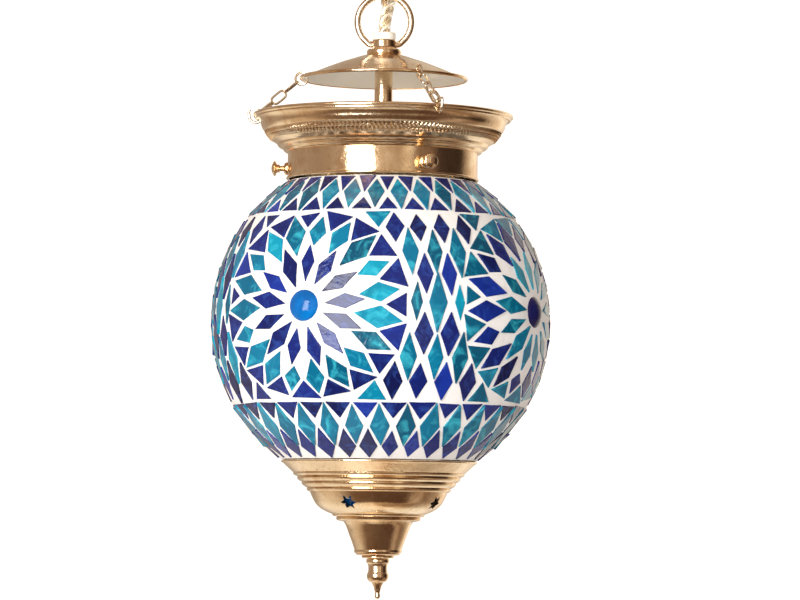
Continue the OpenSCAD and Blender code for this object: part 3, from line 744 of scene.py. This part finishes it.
def towards(az, lat):
    """The direction at an azimuth and a latitude, in degrees."""
    a, b = math.radians(az), math.radians(lat)
    return Vector((math.sin(a) * math.cos(b), -math.cos(a) * math.cos(b), math.sin(b)))


def axes(up):
    """East and north on the sphere, seen at a direction."""
    east = Vector((0, 0, 1)).cross(up).normalized()
    return east, up.cross(east)


def polar(az, lat, x, y):
    """The direction x and y degrees from a centre, on the sphere."""
    up = towards(az, lat)
    east, north = axes(up)
    a = math.hypot(x, y)
    if a < 1e-9:
        return up
    return up * math.cos(math.radians(a)) + (east * x + north * y) / a * math.sin(math.radians(a))


def petal_shape(theta, r0, rm, r1, w):
    t = math.radians(theta)
    ray, side = Vector((math.cos(t), math.sin(t))), Vector((-math.sin(t), math.cos(t)))
    return [ray * r0, ray * rm + side * w, ray * r1, ray * rm - side * w]


def wedge_shape(theta, r0, r1, half):
    def at(r, a):
        return Vector((r * math.cos(math.radians(a)), r * math.sin(math.radians(a))))

    return [at(r0, theta), at(r1, theta + half), at(r1, theta - half)]


def medallion(az, shape):
    out = []
    for p in shape:
        y = p.y * (1 - (0.12 if p.y < 0 else 0.035) * (p.y / 34.5) ** 2)
        out.append(polar(az, LAT, p.x, y))
    return out


FILLERS = [[(20.8, 35.8), (28.7, 35.8), (24.8, 31)], [(20, -28.3), (27, -28.3), (24, -23.6)]]
tiles = {"cobalt": [], "turquoise": []}
for m in range(4):
    az = A_AZ + 90 * m
    odd = m % 2
    first, second = ("turquoise", "cobalt") if odd else ("cobalt", "turquoise")
    petal_angles = [90 + k * 360 / 13 + random.uniform(-1.5, 1.5) for k in range(13)]
    for theta in petal_angles:
        widest = 14.6 + random.uniform(-0.4, 0.4)
        tiles[first].append(medallion(az, petal_shape(theta, 6.9, widest, 21.9, 2.85)))
    for k in range(19):
        theta = 86.5 + k * 360 / 19
        near = min(abs((theta - t + 180) % 360 - 180) for t in petal_angles)
        trim = max(0, 1 - near / 6)
        tiles[second].append(medallion(az, petal_shape(theta, 19.8 + 3.2 * trim, 26.1, 31.9, 2.85)))
        tiles[first].append(medallion(az, wedge_shape(theta + 180 / 19, 28.7, 34.4, 6)))
    for side in (-1, 1):
        beside_a = (side > 0) != bool(odd)
        group = "turquoise" if beside_a else "cobalt"
        for corners in FILLERS:
            tiles[group].append([towards(az + side * x, y) for x, y in corners])

ROWS = [
    ("cobalt", (-14, -5, 4.5, 14), 3.6, 24.1, 30.3, 36.3), ("turquoise", (-8.8, 0, 9), 2.65, 14, 21.3, 28.6),
    ("cobalt", (-4, 4.6), 3.1, 5.9, 13.6, 21.4), ("turquoise", (-7.2, 0.1, 8), 2.2, -2.8, 4, 10.9),
    ("cobalt", (-4.5, 4.5), 3.25, -13.3, -6.4, 0.6), ("turquoise", (-9.5, 0, 9.1), 2.5, -20.9, -14, -7.3),
    ("cobalt", (-14.4, -5.4, 4.2, 14), 3.45, -28.8, -22.4, -15.8),
]
for b in range(4):
    for group, places, half, low, mid, high in ROWS:
        for x in places:
            az = BAND_AZ + 90 * b + x
            corners = ((az, low), (az + half, mid), (az, high), (az - half, mid))
            tiles[group].append([towards(*corner) for corner in corners])


def belt(count, first_az, group, corners):
    """A row of equal tiles right round the globe."""
    for k in range(count):
        az = first_az + k * 360 / count + random.uniform(-0.25, 0.25)
        tiles[group].append([towards(az + x, y) for x, y in corners])


belt(32, 2.5, "cobalt", [(-4.55, 37.5), (4.55, 37.5), (0, 43.7)])
belt(32, 2.5 + 5.625, "turquoise", [(0, 38.8), (3.75, 46.2), (0, 52), (-3.75, 46.2)])
belt(32, 2.5, "cobalt", [(-4.1, 54.8), (0, 46.9), (4.1, 54.8)])
belt(33, 5.5, "cobalt", [(-4.2, -30.4), (0, -35.7), (4.2, -30.4)])
belt(33, 5.5 + 180 / 33, "turquoise", [(0, -45.8), (3.3, -39.4), (0, -32.5), (-3.3, -39.4)])
belt(33, 5.5, "cobalt", [(0, -53.4), (4.1, -48.5), (0, -41.4), (-4.1, -48.5)])

TILE_R, GROUT_R = 89.25, 88.95


def inset(points, d):
    """A convex outline moved inwards by d."""
    out = []
    n = len(points)
    for i, p in enumerate(points):
        a, b = (p - points[i - 1]).normalized(), (points[(i + 1) % n] - p).normalized()
        na, nb = Vector((-a.y, a.x)), Vector((-b.y, b.x))
        out.append(p + (na + nb) * (d / (1 + na.dot(nb))))
    return out


def softened(points, cut):
    """An outline whose corners are cut back a little."""
    out = []
    n = len(points)
    for i, p in enumerate(points):
        a, b = (points[i - 1] - p).normalized(), (points[(i + 1) % n] - p).normalized()
        out += [p + a * cut, p + (a + b) * cut * 0.32, p + b * cut]
    return out


BEVEL = [(0, 3.0), (0, 0.34), (0.03, 0.18), (0.11, 0.05), (0.22, 0.0), (0.34, 0.0)]
GAP = 1.15
GROWTH_ROUNDS = 6


class Piece:
    """One cut piece of glass, as a flat outline on the plane that touches the tile sphere."""

    def __init__(self, corners):
        self.up = sum(corners, Vector()).normalized()
        self.east, self.north = axes(self.up)
        flat = [Vector((v.dot(self.east), v.dot(self.north))) * (TILE_R / v.dot(self.up)) for v in corners]
        if sum(a.x * b.y - b.x * a.y for a, b in zip(flat, flat[1:] + flat[:1])) < 0:
            flat.reverse()
        self.middle = sum(flat, Vector((0, 0))) / len(flat)
        turn_by = Matrix.Rotation(random.uniform(-0.035, 0.035), 2)
        self.flat = [self.middle + turn_by @ (p - self.middle) + self.slip() for p in flat]
        self.reach = max((p - self.middle).length for p in self.flat)
        at_stone = min((v - towards(A_AZ + 90 * m, LAT)).length for v in corners for m in range(4)) < 0.14
        self.grow = 0.45 if at_stone else 1.5

    @staticmethod
    def slip():
        """How far one hand-cut corner is off its place."""
        return Vector((random.uniform(-0.22, 0.22), random.uniform(-0.22, 0.22)))

    def points(self):
        return [self.east * p.x + self.north * p.y + self.up * TILE_R for p in self.flat]

    def seen_from(self, other):
        return [Vector((p.dot(other.east), p.dot(other.north))) for p in self.points()]

    def mesh(self):
        lean = Vector((random.gauss(0, 0.012), random.gauss(0, 0.012)))
        outline = inset(self.flat, -self.grow)
        verts, faces = [], []
        for d, drop in BEVEL:
            for q in softened(inset(outline, d), 0.34):
                height = TILE_R - drop + (q - self.middle).dot(lean)
                verts.append(self.east * q.x + self.north * q.y + self.up * height)
        n = 3 * len(self.flat)
        faces.append(tuple(range(n - 1, -1, -1)))
        for r in range(len(BEVEL) - 1):
            for i in range(n):
                m = (i + 1) % n
                faces.append((r * n + i, r * n + m, (r + 1) * n + m, (r + 1) * n + i))
        faces.append(tuple((len(BEVEL) - 1) * n + i for i in range(n)))
        return verts, faces


def clearance(a, b):
    """The distance that keeps two convex outlines apart, along an edge's normal."""
    best = -1e9
    for p, q in ((a, b), (b, a)):
        for i, start in enumerate(p):
            d = (p[(i + 1) % len(p)] - start).normalized()
            out = Vector((d.y, -d.x))
            best = max(best, min((v - start).dot(out) for v in q))
    return best


def set_growth(pieces):
    """Grows every piece as far as an even grout joint round it allows."""
    pairs = []
    for i, a in enumerate(pieces):
        for b in pieces[i + 1:]:
            if (a.up - b.up).length * TILE_R < a.reach + b.reach + 3:
                pairs.append((a, b, clearance(a.flat, b.seen_from(a))))
    for _ in range(GROWTH_ROUNDS):
        for a, b, room in pairs:
            over = a.grow + b.grow + GAP - room
            if over > 0:
                a.grow -= over / 2
                b.grow -= over / 2
    for piece in pieces:
        piece.grow = max(piece.grow, -0.4)


pieces = {group: [Piece(t) for t in tiles[group]] for group in tiles}
set_growth(pieces["cobalt"] + pieces["turquoise"])
for group, material in (("cobalt", COBALT), ("turquoise", TURQUOISE)):
    shape = join([piece.mesh() for piece in pieces[group]])
    made = make(f"{group}_glass_tiles", shape, [material], "globe_assembly",
                [f"{group}_tiles"],
                sharp=60)
    # Not physical: the tiles are hidden from reflections, so the brass doesn't show blue.
    made.visible_glossy = False

dome = smoothed([
    (0, 3.6, 1), (1.6, 3.5), (3.6, 3.1), (5.6, 2.2), (7.3, 1.2), (8.1, 0.3), (8.3, -0.7, 1), (7.6, -1.6, 1),
    (0, -1.6, 1)], 0.6)[::-1]
for name, which, material, nodes in (("cabochons_blue", (0, 2), CABOCHON, ["cabochons"]),
                                     ("cabochons_dark", (1, 3), CABOCHON_DARK, [])):
    parts = []
    for m in which:
        up = towards(A_AZ + 90 * m, LAT)
        home = Matrix.Translation(up * 88.3) @ up.to_track_quat("Z", "Y").to_matrix().to_4x4()
        parts.append(transformed(home, revolve(dome, 64, closed=False)))
    make(name, join(parts), [material], "globe_assembly", nodes)


def grout_shell():
    """The grout: an uneven outer face between the tiles and a smooth bed on the glass."""
    inner_r = 86.05
    lowest, span = -54.9, 110.8
    lats = [lowest + span * i / 220 for i in range(221)]
    seg = 640
    verts, faces = [], []
    for lat in lats:
        for k in range(seg):
            d = towards(360 * k / seg, lat)
            bumpy = noise.fractal(d * 40, 1.0, 2.0, 3) * 0.10 + noise.noise(d * 14) * 0.08
            verts.append(d * (GROUT_R + bumpy))
    inner = [lowest + span * i / 60 for i in range(60, -1, -1)]
    for lat in inner:
        for k in range(seg):
            verts.append(towards(360 * k / seg, lat) * inner_r)
    rows = len(lats) + len(inner)
    for i in range(rows):
        j = (i + 1) % rows
        for k in range(seg):
            m = (k + 1) % seg
            faces.append((i * seg + k, i * seg + m, j * seg + m, j * seg + k))
    return verts, faces


make("grout_skin", grout_shell(), [GROUT], "globe_assembly", ["grout_layer"], sharp=50)

# ---- Cup and finial ----------------------------------------------------------------------

cup_out = smoothed([
    (12.2, -121.6, 1), (12.6, -120.6), (12.4, -119.8, 1), (13.9, -115.5), (15.7, -110.8), (17.2, -106.9),
    (18.3, -105.2, 1), (21.7, -104.4), (22.3, -103.4), (21.8, -102.6, 1), (23.6, -102.3), (24.3, -101.7),
    (24.4, -101.2, 1),
    (27.2, -100.1), (30.6, -98.2), (33.1, -95.8), (34.6, -93.2), (35.7, -90.9), (36.3, -89.5, 1),
    (37.4, -89.2), (38.0, -88.3), (37.7, -87.6, 1), (38.6, -87.2, 1), (40.0, -86.2), (40.7, -85.2),
    (40.5, -84.5, 1), (41.4, -84.1, 1), (42.6, -83.3), (43.1, -82.4), (42.8, -81.8, 1), (43.6, -81.4, 1),
    (44.7, -80.9), (45.2, -80.2), (45.0, -79.6, 1), (45.6, -79.2, 1), (48.0, -77.0), (50.3, -74.9),
    (50.9, -74.4, 1)], 0.45)
cup_lip = arc_line((51.0, -73.8), 0.62, -80, 150, 9)
cup_in = [p for p in offset(cup_out, 0.85)[3:] if p.x > 4]
cup_profile = [Vector((3.2, -121.6))] + cup_out + cup_lip + cup_in[::-1] + [Vector((3.2, -120.6))]
cup = lathe("base_cup_spun", cup_profile, 288, BRASS, "globe_assembly", ["base_cup"])

STAR_AZ, STAR_RHO, STAR_Z, STAR_TILT = -28, 33.3, -95.3, 36


def star_home(k):
    """The place of one star on the cup's bowl, with Z out of the sheet."""
    spin = Matrix.Rotation(math.radians(STAR_AZ + 90 * k), 4, "Z")
    lean = Matrix.Rotation(math.radians(90 + STAR_TILT), 4, "X")
    return spin @ Matrix.Translation((0, -STAR_RHO, STAR_Z)) @ lean


def prism(outline, low, high):
    """A solid between two heights over a flat outline."""
    n = len(outline)
    verts = [Vector((x, y, low)) for x, y in outline] + [Vector((x, y, high)) for x, y in outline]
    faces = [tuple(range(n - 1, -1, -1)), tuple(range(n, 2 * n))]
    faces += [(i, (i + 1) % n, n + (i + 1) % n, n + i) for i in range(n)]
    return verts, faces


star_outline = []
for i in range(12):
    r = 4.7 if i % 2 == 0 else 2.65
    star_outline.append((r * math.cos(TAU * i / 12), r * math.sin(TAU * i / 12)))
cutters = join([transformed(star_home(k), prism(star_outline, -4, 4)) for k in range(4)])
cutter = make("star_cutter", cutters, [BRASS], None, smooth=False)


def cut(obj, tool):
    """Cuts the tool's solid out of a piece and keeps the result as its mesh."""
    mod = obj.modifiers.new("cut", "BOOLEAN")
    mod.operation = "DIFFERENCE"
    mod.solver = "EXACT"
    mod.object = tool
    made = bpy.data.meshes.new_from_object(obj.evaluated_get(bpy.context.evaluated_depsgraph_get()))
    obj.modifiers.clear()
    obj.data = made
    made.set_sharp_from_angle(angle=math.radians(35))
    bpy.data.objects.remove(tool)


cut(cup, cutter)
lens = [(0, -3.4), (5.0, -3.4), (5.2, -3.2), (5.0, -3.0), (2.6, -2.7), (0, -2.6)]
discs = join([transformed(star_home(k), revolve(lens, 40, closed=False)) for k in range(4)])
make("star_glass_discs", discs, [STAR_GLASS], "globe_assembly", ["star_glass"])

disc = smoothed([
    (3.1, -124.2, 1), (8.0, -124.2, 1), (8.5, -123.8), (8.5, -123.3), (8.2, -122.9, 1), (10.9, -122.6, 1),
    (11.7, -122.1), (11.4, -121.7, 1), (3.1, -121.6, 1)], 0.3)
lathe("finial_disc_turned", disc, 96, BRASS_CAST, "globe_assembly", ["finial_disc"])
tip_line = smoothed([
    (0, -145.7, 1), (0.8, -145.4), (1.3, -144.7), (1.35, -143.6), (1.2, -142.4, 1), (1.5, -141.4),
    (1.9, -139.6), (2.6, -138), (3.3, -136.9, 1), (4.6, -136.2), (5.4, -135.0), (5.7, -133.6), (5.5, -132.4),
    (5.1, -131.5, 1), (4.95, -130), (5.0, -128.4), (5.3, -127.2, 1), (5.9, -126.6), (6.1, -125.7),
    (5.9, -124.7), (5.3, -124.2, 1), (3.1, -124.2, 1), (3.1, -131.2, 1), (0, -131.2, 1)], 0.3)
lathe("finial_turned", tip_line, 96, BRASS_CAST, "globe_assembly", ["finial"], closed=False)

# ---- Materials of the CAD nodes that stay -------------------------------------------------

KEPT = {
    "stem_tube": BRASS, "bell_nut": BRASS_CAST, "bell_washer": STEEL, "ceiling_plate": STEEL,
    "rod_nut": STEEL,
    "finial_rod": STEEL, "canopy_bush": IVORY, "terminal_block": IVORY, "stem_cord": PVC,
    "holder_cap": PHENOLIC, "holder_shell": PHENOLIC, "holder_insert": CERAMIC, "neck_gasket": RUBBER,
    "rod_washer": RUBBER, "bulb_cap": ALUMINIUM, "bulb_glass": FROSTED, "glass_globe": GLASS,
}
for node, material in KEPT.items():
    for s in frame["nodes"][node].material_slots:
        s.material = material

# ---- Stage and light ---------------------------------------------------------------------


def white(name, strength):
    m = Maker(name)
    at = m.coords()
    cloud = m.noise(at, 0.6, 2, 0.5)
    tone = m.ramp(cloud, [(0.3, (0.86, 0.86, 0.85)), (0.7, (0.9, 0.9, 0.89))])
    m.set(Base_Color=tone, Roughness=0.9, Emission_Color=(1, 1, 1, 1), Emission_Strength=strength)
    return m.material


# The stage is in the frame's own units, so it doesn't go through place().
bowl_line = smoothed([(0, -2.4), (3.0, -2.4), (4.6, -2.25), (5.6, -1.6), (6.0, -0.4), (6.1, 1.5),
                      (6.1, 4.5)], 0.3)
stage = make("studio_floor", revolve(bowl_line, 96, closed=False), [white("studio_white", 0.8)], None,
             at=lambda v: Vector((v.x, v.y, v.z + GLOBE_Z)))
stage.visible_glossy = False
stage.visible_diffuse = False

world = bpy.data.worlds.new("studio")
world.use_nodes = True
bpy.context.scene.world = world
tree = world.node_tree
tree.nodes.clear()
world_out = tree.nodes.new("ShaderNodeOutputWorld")
background = tree.nodes.new("ShaderNodeBackground")
tree.links.new(background.outputs[0], world_out.inputs[0])


def sky(kind, **values):
    node = tree.nodes.new(kind)
    for key, value in values.items():
        setattr(node, key, value)
    return node


def sky_ramp(fac, stops):
    """A colour ramp over degrees from -180 to 180."""
    share = sky("ShaderNodeMapRange")
    share.inputs["From Min"].default_value = -math.pi
    share.inputs["From Max"].default_value = math.pi
    tree.links.new(fac, share.inputs["Value"])
    node = sky("ShaderNodeValToRGB")
    tree.links.new(share.outputs["Result"], node.inputs[0])
    fill_ramp(node, [(degrees / 360 + 0.5, colour) for degrees, colour in stops])
    return node.outputs[0]


split = sky("ShaderNodeSeparateXYZ")
tree.links.new(sky("ShaderNodeTexCoord").outputs["Generated"], split.inputs[0])
front = sky("ShaderNodeMath", operation="MULTIPLY")
tree.links.new(split.outputs[1], front.inputs[0])
front.inputs[1].default_value = -1
azimuth = sky("ShaderNodeMath", operation="ARCTAN2")
tree.links.new(split.outputs[0], azimuth.inputs[0])
tree.links.new(front.outputs[0], azimuth.inputs[1])
elevation = sky("ShaderNodeMath", operation="ARCSINE")
tree.links.new(split.outputs[2], elevation.inputs[0])
round_about = sky_ramp(azimuth.outputs[0], [
    (-180, (0.5, 0.42, 0.33)), (-112, (0.4, 0.3, 0.23)), (-84, (0.34, 0.24, 0.17)), (-50, (0.42, 0.3, 0.21)),
    (-8, (0.66, 0.52, 0.38)), (22, (0.48, 0.35, 0.24)), (32, (0.95, 0.78, 0.58)), (41, (0.26, 0.165, 0.11)),
    (62, (0.2, 0.12, 0.08)), (72, (0.05, 0.03, 0.022)), (112, (0.045, 0.03, 0.022)), (122, (0.5, 0.38, 0.28)),
    (150, (1.3, 1.15, 0.95)), (180, (0.5, 0.42, 0.33))])
below = sky_ramp(azimuth.outputs[0], [
    (-180, (1.0, 0.92, 0.8)), (-140, (0.95, 0.84, 0.7)), (-90, (0.66, 0.52, 0.38)), (-58, (0.2, 0.12, 0.075)),
    (-5, (0.13, 0.075, 0.045)), (60, (0.11, 0.06, 0.04)), (84, (0.5, 0.36, 0.25)), (100, (0.24, 0.15, 0.1)),
    (130, (0.5, 0.4, 0.3)), (155, (1.0, 0.92, 0.8)), (180, (1.0, 0.92, 0.8))])
floor = sky_ramp(azimuth.outputs[0], [
    (-180, (1.2, 1.08, 0.9)), (-90, (1.15, 1.0, 0.82)), (-45, (1.0, 0.82, 0.62)), (0, (0.66, 0.5, 0.35)),
    (45, (0.45, 0.32, 0.21)), (100, (0.36, 0.24, 0.16)), (135, (0.8, 0.66, 0.5)), (160, (1.2, 1.08, 0.9)),
    (180, (1.2, 1.08, 0.9))])
share_below = sky_ramp(elevation.outputs[0], [
    (-74, (0, 0, 0)), (-64, (1, 1, 1)), (-26, (1, 1, 1)), (-14, (0, 0, 0))])
share_floor = sky_ramp(elevation.outputs[0], [(-70, (1, 1, 1)), (-60, (0, 0, 0))])
share_roof = sky_ramp(elevation.outputs[0], [(22, (0, 0, 0)), (60, (1, 1, 1))])
light = round_about
for share, colour in ((share_below, below), (share_floor, floor), (share_roof, (0.42, 0.3, 0.22))):
    node = sky("ShaderNodeMix", data_type="RGBA")
    tree.links.new(share, node.inputs[0])
    tree.links.new(light, node.inputs[6])
    if isinstance(colour, tuple):
        node.inputs[7].default_value = (*colour, 1)
    else:
        tree.links.new(colour, node.inputs[7])
    light = node.outputs[2]
tree.links.new(light, background.inputs[0])


def softbox(name, az, el, distance, width, height, radiance, colour=(1, 1, 1)):
    """A panel light facing CENTRE from an azimuth and an elevation."""
    data = bpy.data.lights.new(name, "AREA")
    data.shape = "RECTANGLE"
    data.size, data.size_y = width, height
    data.energy = radiance * math.pi * width * height
    data.color = colour
    lamp = bpy.data.objects.new(name, data)
    bpy.context.scene.collection.objects.link(lamp)
    a, e = math.radians(az), math.radians(el)
    d = Vector((math.sin(a) * math.cos(e), -math.cos(a) * math.cos(e), math.sin(e)))
    lamp.location = CENTRE + d * distance
    lamp.rotation_euler = d.to_track_quat("Z", "Y").to_euler()
    lamp.visible_camera = False
    return lamp


softbox("key", -27, 6, 1.8, 0.9, 1.5, 9.0)
for name, az, el, radiance in (("fill", 12, 12, 1.5), ("fill_low", 0, -48, 1.9), ("fill_right", 68, 0, 1.5),
                               ("fill_left", -72, -7, 1.6)):
    fill = softbox(name, az, el, 2.6, 1.8, 1.8, radiance, (0.93, 0.96, 1.0))
    fill.visible_glossy = False

bpy.context.scene.view_settings.view_transform = "Standard"
